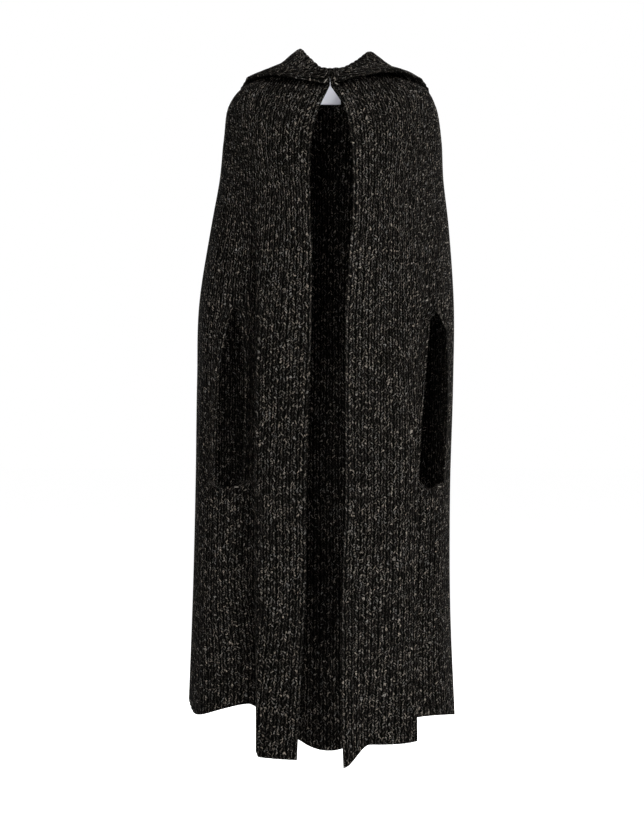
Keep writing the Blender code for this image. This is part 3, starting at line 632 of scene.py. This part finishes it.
def hood_middle(side, share, turn):
    """The middle surface of half the hood, share of the way round from the throat and at a turn across."""
    ring = ring_point(side, np.zeros_like(share), np.pi * share)
    neck = ring - unit(level(ring)) * NECK_INSET
    roll = hood_line(ROLL_LINE, side, share)
    fold = hood_line(FOLD_LINE, side, share)
    edge = hood_line(FACE_EDGE, side, share)
    pouch = smooth((share - POUCH_START) / POUCH_SPAN)[..., None]
    swell = np.sin(np.pi * share)[..., None]
    up = np.array([0.0, 0.0, 1.0])
    out = unit(level(fold - neck))
    low = 0.5 * (roll + fold) + out * FALL_OUT * pouch - up * FALL_HOLLOW * swell * (1.0 - pouch)
    belly = 0.5 * (fold + edge) + out * POUCH_SWELL * pouch + up * EDGE_LIFT * swell
    fold = fold + (0.5 * (low + belly) - fold) * 0.5 * (1.0 - pouch)
    reach = FOOT_REACH + FOOT_REACH_MORE * (1.0 - pouch)
    inner_foot = fold - out * INNER_FOOT * pouch + (low - fold) * reach
    outer_foot = fold + out * OUTER_FOOT * pouch + (belly - fold) * reach
    rising = roll + (neck - roll) * 0.25 - out * ROLL_ROUND
    falling = roll + (low - roll) * 0.25 + out * ROLL_ROUND * ROLL_FALL
    lines = (neck, rising, roll, falling, low, inner_foot, fold, outer_foot, belly, edge)
    return blend_lines(np.array(HOOD_TURNS), np.stack(lines), turn)


def blend_lines(knots, lines, turn):
    """A smooth curve across several lines, at a turn given for each point."""
    step = np.diff(knots)
    slope = knot_slopes(step[:, None, None, None], lines)
    i = np.clip(np.searchsorted(knots, turn, side="right") - 1, 0, len(knots) - 2)
    row, column = np.indices(turn.shape)
    t = ((turn - knots[i]) / step[i])[..., None]
    return hermite(t, step[i][..., None], lines[i, row, column], lines[i + 1, row, column],
                   slope[i, row, column], slope[i + 1, row, column])


def body_tree(quarters):
    """The body's middle surface, coarse, to measure the hood's distance from."""
    grids = quarters[2]
    vertices = []
    faces = []
    for grid in grids.values():
        coarse = grid[::4, ::RIB_STEPS // 2]
        ids = len(vertices) + np.arange(coarse.shape[0] * coarse.shape[1]).reshape(coarse.shape[:2])
        vertices += coarse.reshape(-1, 3).tolist()
        faces += grid_faces(ids).tolist()
    return BVHTree.FromPolygons(vertices, faces)


def lifted(side, tree):
    """How far each of a few places of half the hood must move to clear the body by HOOD_CLEAR."""
    share, turn = np.meshgrid(np.linspace(HOOD_START, 1.0, 2 * HOOD_COLUMNS + 1),
                              np.linspace(0.0, 1.0, CLEAR_ROWS))
    rough = hood_middle(side, share, turn)
    moves = np.zeros_like(rough)
    for spot in np.argwhere(turn > FREE_TURN):
        point = Vector(rough[tuple(spot)])
        found, normal, _, _ = tree.find_nearest(point)
        outward = Vector((found.x, found.y, 0.0)).normalized() + Vector((0.0, 0.0, CLEAR_RISE))
        if normal.dot(outward) < 0:
            normal = -normal
        height = (point - found).dot(normal)
        if height < HOOD_CLEAR:
            moves[tuple(spot)] = normal * (HOOD_CLEAR - height)
    return moves


def spread_moves(moves, share, turn):
    """The moves between those places, bilinear."""
    rows, columns = moves.shape[:2]
    column = (share - HOOD_START) / (1.0 - HOOD_START) * (columns - 1)
    row = turn * (rows - 1)
    c = np.clip(column.astype(int), 0, columns - 2)
    r = np.clip(row.astype(int), 0, rows - 2)
    u = (column - c)[..., None]
    v = (row - r)[..., None]
    return ((moves[r, c] * (1 - u) + moves[r, c + 1] * u) * (1 - v)
            + (moves[r + 1, c] * (1 - u) + moves[r + 1, c + 1] * u) * v)


def hood_cloth(share, turn):
    """Where a place of half the hood lies in its flat cut, in ribs across from the face edge and courses up
    from the neck seam. The cut is a square with a round corner: the crown seam is its far side."""
    t = turn * np.pi / 2
    size = (np.cos(t) ** 4 + np.sin(t) ** 4) ** 0.25
    ribs = share * np.cos(t) / size * HOOD_NECK_HALF / RIB_PITCH
    courses = share * np.sin(t) / size * HOOD_EDGE_HALF / COURSE
    return ribs, courses


def hood_panel(quarters, material):
    """The hood: a grid for each half, in place (share, turn), joined along the back and crown seam."""
    tree = body_tree(quarters)
    share, turn = np.meshgrid(np.linspace(HOOD_START, 1.0, HOOD_FINE_COLUMNS + 1),
                              np.linspace(0.0, 1.0, HOOD_FINE_ROWS + 1))
    ribs, courses = hood_cloth(share, turn)
    fade = smooth(turn / HOOD_FLAT_NECK) * smooth((1.0 - turn) / HOOD_FLAT_EDGE)
    halves = []
    for side in (LEFT, RIGHT):
        half = hood_middle(side, share, turn) + spread_moves(lifted(side, tree), share, turn)
        half[..., 0] -= side * THROAT_CLOSE * (1.0 - smooth((share - HOOD_START) / THROAT_SPAN))
        half[:, -1, 0] = 0.0
        normal = grid_normals(half, side)
        normal[:, -1, 0] = 0.0
        normal = unit(normal)
        for crease_side, at_share, at_turn, share_width, turn_width, height in HOOD_CREASES:
            if crease_side == side:
                around = (share - at_share) / share_width
                across = (turn - at_turn) / turn_width
                bump = np.exp(-around**2 - across**2) * smooth((1.0 - share) / CROWN_CALM)
                half = half + normal * (height * bump)[..., None]
        calm = smooth((1.0 - share) / CROWN_STRAIGHT)
        strayed = ribs + HOOD_WANDER * wander(ribs, courses, 5.0 * side) * calm
        uv = np.stack([side * (strayed + HOOD_FIRST_RIB), courses], axis=-1)
        halves.append((*knit_skins(half, normal, strayed, fade), uv))
    left_ids = np.arange(share.size).reshape(share.shape)
    right_ids = left_ids + share.size
    right_ids[:, -1] = left_ids[:, -1]
    values, left_faces, right_faces = join_grids(*halves, left_ids, right_ids)
    faces = np.concatenate([left_faces, right_faces[:, ::-1]])
    return place(closed_wall("hood_knit", *values, faces, material), "hood")


# Label and stitches

def label_piece(material):
    """The bare satin label: a grid at (down, across) that follows the back neck, with a turned-up lower edge
    and a slight ripple."""
    down, across = np.meshgrid(np.linspace(0.0, 1.0, 40), np.linspace(-0.5, 0.5, 40), indexing="ij")
    x = LABEL_MIDDLE + across * LABEL_WIDTH
    ring = ring_point(RIGHT, np.zeros_like(x), np.pi - np.arcsin(np.abs(x) / RINGS[0, 4]))
    ripple = LABEL_RIPPLE * np.sin(LABEL_WAVES * across + 2.0) * down
    y = ring[..., 1] - NECK_INSET - WALL / 2 - LABEL_WALL / 2 - SEAM_GAP - LABEL_LEAN * down - ripple
    middle = np.stack([x, y, LABEL_TOP + (LABEL_BOTTOM - LABEL_TOP) * down], axis=-1)
    normal = grid_normals(middle, 1.0)
    normal *= -np.sign(normal[..., 1].mean())
    turned = LABEL_HEM * smooth((down - LABEL_HEM_START) / LABEL_HEM_STEP)
    outer = middle + normal * (LABEL_WALL / 2 + turned)[..., None]
    inner = middle - normal * (LABEL_WALL / 2)
    faces = grid_faces(np.arange(down.size).reshape(down.shape))
    uv = np.stack([across, down], axis=-1).reshape(-1, 2)
    wall = closed_wall("label_satin", outer.reshape(-1, 3), inner.reshape(-1, 3), uv, faces, material)
    return place(wall, "label")


def photo_point(u, v):
    """x and z of a pixel of the photo in the plane y = 0."""
    return CAMERA_X + (u - PHOTO_WIDTH / 2) * PIXEL, CAMERA_Z + (PHOTO_HEIGHT / 2 - v) * PIXEL


def stitch_piece(name, u, v, length, lean, trees, material):
    """A short thread on the cloth that the photo shows at that pixel."""
    eye = Vector((CAMERA_X, -CAMERA_DISTANCE, CAMERA_Z))
    x, z = photo_point(u, v)
    ray = (Vector((x, 0.0, z)) - eye).normalized()
    hits = [tree.ray_cast(eye, ray) for tree in trees]
    spot = min((hit for hit in hits if hit[0] is not None), key=lambda hit: hit[3])[0]
    curve = bpy.data.curves.new(name, "CURVE")
    curve.dimensions = "3D"
    curve.bevel_depth = STITCH_RADIUS
    curve.bevel_resolution = 3
    curve.use_fill_caps = True
    line = curve.splines.new("POLY")
    line.points.add(STITCH_POINTS - 1)
    lean = np.radians(lean)
    along = Vector((np.sin(lean), 0.0, np.cos(lean)))
    for point, share in zip(line.points, np.linspace(-1.0, 1.0, STITCH_POINTS)):
        out = -STITCH_RADIUS * (1.0 - share**2)
        point.co = (*(spot + along * (share * length / 2) + Vector((0.0, out, 0.0))), 1.0)
        point.radius = 1.0 - 0.5 * share**2
    curve.materials.append(material)
    piece = bpy.data.objects.new(name, curve)
    bpy.context.scene.collection.objects.link(piece)
    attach(piece, "root")
    return piece


def tree_of(piece):
    """A search tree of a piece's faces."""
    mesh = piece.data
    return BVHTree.FromPolygons([v.co for v in mesh.vertices], [face.vertices for face in mesh.polygons])


# Materials

def linear(hex_colour):
    """An sRGB hex colour as linear RGBA."""
    srgb = [int(hex_colour[i:i + 2], 16) / 255 for i in (0, 2, 4)]
    return (*[c / 12.92 if c <= 0.04045 else ((c + 0.055) / 1.055) ** 2.4 for c in srgb], 1.0)


def per_metre(size):
    """The scale of a pattern in metres whose spots are this many millimetres wide."""
    return 1000.0 / size


def fill(tree, node, *values, **inputs):
    """Fills a node's inputs: values in order, and inputs by name with _ for a space or, as _6 and so on, by
    number. A socket is linked, and any other value is set."""
    for key, value in (*enumerate(values), *inputs.items()):
        if isinstance(key, str):
            key = int(key[1:]) if key[0] == "_" else key.replace("_", " ")
        socket = node.inputs[key]
        if isinstance(value, bpy.types.NodeSocket):
            tree.links.new(value, socket)
        else:
            socket.default_value = value


def add(tree, kind, *values, out=0, settings=None, **inputs):
    """Adds a shader node, fills its inputs and gives one of its outputs, by number or name. kind is its type,
    then its operation if it has one, and settings are its other properties."""
    kind, _, operation = kind.partition(" ")
    node = tree.nodes.new("ShaderNode" + kind)
    if operation:
        node.operation = operation
    for key, value in (settings or {}).items():
        setattr(node, key, value)
    fill(tree, node, *values, **inputs)
    return node.outputs[out]


def new_material(name):
    """A new material with its node tree and its shader."""
    made = bpy.data.materials.new(name)
    made.use_nodes = True
    tree = made.node_tree
    return made, tree, tree.nodes["Principled BSDF"]


def hump(tree, value, middle, half):
    """1 at the middle, falling to 0 at half a width away: 1 - ((value - middle) / half)^2, not below 0."""
    off = add(tree, "Math DIVIDE", add(tree, "Math SUBTRACT", value, middle), half)
    rest = add(tree, "Math SUBTRACT", 1.0, add(tree, "Math MULTIPLY", off, off))
    return add(tree, "Math MAXIMUM", rest, 0.0)


BLACK_PLY_AND_GAP_SHADE = "030302"  # the black ply, and also painted shade in the gaps between stitches
GREY_PLY = "989693"  # the greyest that a light ply gets
SHEEN_TINT = "8a847b"  # of the fibres' ends
YARN_WAVE = 6.6667  # millimetres between thick places of the yarn
YARN_SHIFT = (0.95, 2.0, 0.0)  # how far they shift the stitches, in ribs and courses
FIBRE_CLUMP = 1.4286  # millimetres; clumps of fibres, because single ones are too fine to show
FIBRE_EDGES = (0.38, 0.62)  # values of their noise between which they go from dark to light
FIBRE_SHADE = 0.6  # share of a leg's lightness that fibres break up
FIBRE_COVER = 0.5  # share of a leg that shows only where fibres lie
FIBRE_HEIGHT = 0.15  # their height against a leg's
LEG_RISE = 2.8  # courses that a stitch's leg climbs for each rib's width
LEG_MIDDLE = 0.23  # ribs from the crest to a leg's middle
LEG_HALF = 0.145  # half a leg's reach, in ribs
LEG_THICK = 0.31  # half a leg's thickness, in courses
LEG_STAGGER = 0.37  # courses by which one side's legs are ahead of the other's
LIGHT_POWER = 1.5  # above 1, few legs are very light
STITCH_HEIGHT = 0.0016  # height of a stitch's leg over the gap between two
MARLS_LIT_AND_SHADED = {
    # Copies of one yarn, each made lighter or darker for how its panel is lit: painted light and shade. The
    # right front's is the lightest, painted light where the key light falls on it from the right.
    # panel: dark yarn, light yarn, share of legs with a light ply, sheen
    "left": ("2c2926", "beb1a2", 0.90, 0.008),
    "right": ("302c29", "c6baab", 0.94, 0.009),
    "back": ("2c2926", "c0b4a6", 0.90, 0.008),
    "hood": ("2a2724", "b8ab9d", 0.86, 0.008),
}


def marl_knit(panel):
    """Wool-blend marl, knitted in chunky rib from a yarn that twists a black ply with beige and grey ones.

    The eye sees two slanting legs for each stitch, one on either side of the rib's crest, and black between
    them: the black ply, with painted shade in the gaps. Where a light ply comes up, a leg is a light dash,
    and else it is dark grey-brown. Fine fibres break up every edge, and the roughness and a little sheen give
    softness. u counts ribs and v counts courses.
    """
    # This panel's copy of the yarn, whose lightness is partly painted light and shade.
    dark, light, light_share, sheen = MARLS_LIT_AND_SHADED[panel]
    made, tree, shader = new_material(panel + "_marl_knit")
    uv = add(tree, "UVMap", settings={"uv_map": "knit"})
    where = add(tree, "TexCoord", out="Object")
    # Yarn is uneven: a noise shifts both coordinates a little.
    uneven = add(tree, "TexNoise", Vector=where, Scale=per_metre(YARN_WAVE), out="Color")
    shift = add(tree, "VectorMath SUBTRACT", uneven, (0.5, 0.5, 0.5))
    shift = add(tree, "VectorMath MULTIPLY", shift, YARN_SHIFT)
    u = add(tree, "SeparateXYZ", add(tree, "VectorMath ADD", uv, shift))
    v = u.node.outputs["Y"]
    rib = add(tree, "Math ROUND", u)
    off = add(tree, "Math SUBTRACT", u, rib)
    out = add(tree, "Math ABSOLUTE", off)
    side = add(tree, "Math GREATER_THAN", off, 0.0)
    phase = add(tree, "Math SUBTRACT", v, add(tree, "Math MULTIPLY", out, LEG_RISE))
    phase = add(tree, "Math ADD", phase, add(tree, "Math MULTIPLY", side, LEG_STAGGER))
    course = add(tree, "Math FLOOR", phase)
    across = add(tree, "Math SUBTRACT", phase, course)
    thick = hump(tree, across, 0.5, LEG_THICK)
    leg = add(tree, "Math SQRT", add(tree, "Math MULTIPLY", thick, hump(tree, out, LEG_MIDDLE, LEG_HALF)))
    # Random values for each leg say which ply comes up on it and how light that is.
    column = add(tree, "Math ADD", add(tree, "Math MULTIPLY", rib, 2.0), side)
    cell = add(tree, "CombineXYZ", column, course)
    chance = add(tree, "TexWhiteNoise", cell, settings={"noise_dimensions": "3D"})
    greyness = add(tree, "SeparateColor", chance.node.outputs["Color"], out="Green")
    fibres = add(tree, "TexNoise", Vector=where, Scale=per_metre(FIBRE_CLUMP), Detail=2.0)
    fibres = add(tree, "MapRange", fibres, *FIBRE_EDGES, settings={"interpolation_type": "SMOOTHSTEP"})
    lightness = add(tree, "MapRange", chance, 1.0 - light_share, 1.0)
    lightness = add(tree, "Math POWER", lightness, LIGHT_POWER)
    broken = add(tree, "Math MULTIPLY_ADD", fibres, FIBRE_SHADE, 1.0 - FIBRE_SHADE)
    lightness = add(tree, "Math MULTIPLY", lightness, broken)
    colours = {"data_type": "RGBA"}
    ply = add(tree, "Mix", greyness, _6=linear(light), _7=linear(GREY_PLY), settings=colours, out=2)
    yarn = add(tree, "Mix", lightness, _6=linear(dark), _7=ply, settings=colours, out=2)
    furred = add(tree, "Math MULTIPLY_ADD", fibres, FIBRE_COVER, 1.0 - FIBRE_COVER)
    cover = add(tree, "Math MULTIPLY", leg, furred)
    # Off the legs, and where fibres break them up, the colour falls to the black ply; in the gaps between
    # stitches this near-black is also painted shade.
    colour = add(tree, "Mix", cover, _6=linear(BLACK_PLY_AND_GAP_SHADE), _7=yarn, settings=colours, out=2)
    relief = add(tree, "Math ADD", leg, add(tree, "Math MULTIPLY", fibres, FIBRE_HEIGHT))
    bump = add(tree, "Bump", Strength=1.0, Distance=STITCH_HEIGHT, Height=relief)
    fill(tree, shader, Base_Color=colour, Normal=bump, Roughness=0.95, IOR=1.54, Specular_IOR_Level=0.03,
         Sheen_Weight=sheen, Sheen_Roughness=0.5, Sheen_Tint=linear(SHEEN_TINT))
    return made


def satin(name):
    """Polyester satin ribbon, woven with long floats across it, 3.3 by 0.2 mm: bright white with a faint
    bluish sheen."""
    made, tree, shader = new_material(name)
    where = add(tree, "TexCoord", out="Object")
    floats = (per_metre(3.3333), per_metre(3.3333), per_metre(0.2))
    squeezed = add(tree, "VectorMath MULTIPLY", where, floats)
    weave = add(tree, "TexNoise", Vector=squeezed, Scale=1.0)
    bump = add(tree, "Bump", Strength=0.25, Distance=0.0001, Height=weave)
    fill(tree, shader, Base_Color=linear("f2f2fc"), Normal=bump, Roughness=0.38, Sheen_Weight=0.2)
    return made


def thread(name):
    """Polyester sewing thread in beige grey, twisted about every 0.56 mm: matte and slightly fuzzy."""
    made, tree, shader = new_material(name)
    where = add(tree, "TexCoord", out="Object")
    twist = add(tree, "TexNoise", Vector=where, Scale=per_metre(0.5556))
    colour = add(tree, "Mix", twist, _6=linear("5c5852"), _7=linear("b4aea4"),
                 settings={"data_type": "RGBA"}, out=2)
    fill(tree, shader, Base_Color=colour, Roughness=0.8)
    return made


def coated_wire(name):
    """Steel wire for hooks and eyes, lacquered black and worn in spots of 1.4 mm: smooth, dark, with narrow
    highlights."""
    made, tree, shader = new_material(name)
    where = add(tree, "TexCoord", out="Object")
    worn = add(tree, "TexNoise", Vector=where, Scale=per_metre(1.4286))
    rough = add(tree, "MapRange", worn, 0.0, 1.0, 0.28, 0.45)
    fill(tree, shader, Base_Color=linear("1c1c1e"), Metallic=0.6, Roughness=rough)
    return made


def backdrop_paper(name):
    """Seamless paper, white and matte, that looks as bright as the surroundings do."""
    made, tree, shader = new_material(name)
    seen = add(tree, "LightPath", out="Is Camera Ray")
    glow = add(tree, "Math MULTIPLY", seen, 1.0 - AMBIENT)
    fill(tree, shader, Base_Color=linear("fbfbfb"), Roughness=0.9, Emission_Color=linear("ffffff"),
         Emission_Strength=glow)
    return made


# Stage

def stage():
    """A pale floor, white surroundings, soft lights and the photo's camera."""
    scene = bpy.context.scene
    bpy.ops.mesh.primitive_plane_add(size=FLOOR_SIZE, location=(0.0, 0.0, FLOOR_Z))
    floor = bpy.context.object
    floor.name = "floor"
    floor.data.materials.append(backdrop_paper("backdrop_paper"))
    world = bpy.data.worlds.new("studio")
    world.use_nodes = True
    tree = world.node_tree
    # The surroundings look white, and light the cape less than white ones would.
    seen = add(tree, "LightPath", out="Is Camera Ray")
    strength = add(tree, "MapRange", seen, 0.0, 1.0, AMBIENT, 1.0)
    fill(tree, tree.nodes["Background"], Color=linear("ffffff"), Strength=strength)
    scene.world = world
    scene.view_settings.view_transform = "Standard"
    for name, spot, size, power in LIGHTS:
        lamp = bpy.data.lights.new(name, "AREA")
        lamp.energy = power
        lamp.size = size
        lamp_object = bpy.data.objects.new(name, lamp)
        lamp_object.location = spot
        aim = Vector((0.0, 0.0, CAMERA_Z)) - Vector(spot)
        lamp_object.rotation_euler = aim.to_track_quat("-Z", "Y").to_euler()
        scene.collection.objects.link(lamp_object)
    camera = bpy.data.cameras.new("photo_camera")
    camera.sensor_fit = "VERTICAL"
    camera.sensor_width = SENSOR
    camera.sensor_height = SENSOR
    camera.lens = SENSOR * CAMERA_DISTANCE / (PIXEL * PHOTO_HEIGHT)
    camera_object = bpy.data.objects.new("photo_camera", camera)
    camera_object.location = (CAMERA_X, -CAMERA_DISTANCE, CAMERA_Z)
    camera_object.rotation_euler = (np.pi / 2, 0.0, 0.0)
    scene.collection.objects.link(camera_object)
    scene.camera = camera_object


quarters = body_quarters()
# Each panel gets its own copy of the yarn, with painted light and shade for how it is lit.
left_front = front_panel(LEFT, "front_left", quarters, marl_knit("left"))
right_front = front_panel(RIGHT, "front_right", quarters, marl_knit("right"))
back_panel(quarters, marl_knit("back"))
hood = hood_panel(quarters, marl_knit("hood"))
label_piece(satin("label_satin"))
wire = coated_wire("fastener_wire")
for node in ("neck_hook", "neck_eye"):
    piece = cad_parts[node]
    piece.data.materials.clear()
    piece.data.materials.append(wire)
trees = [tree_of(piece) for piece in (left_front, right_front, hood)]
sewing = thread("sewing_thread")
for name, u, v, length, lean in STITCHES:
    stitch_piece(name, u, v, length, lean, trees, sewing)
stage()
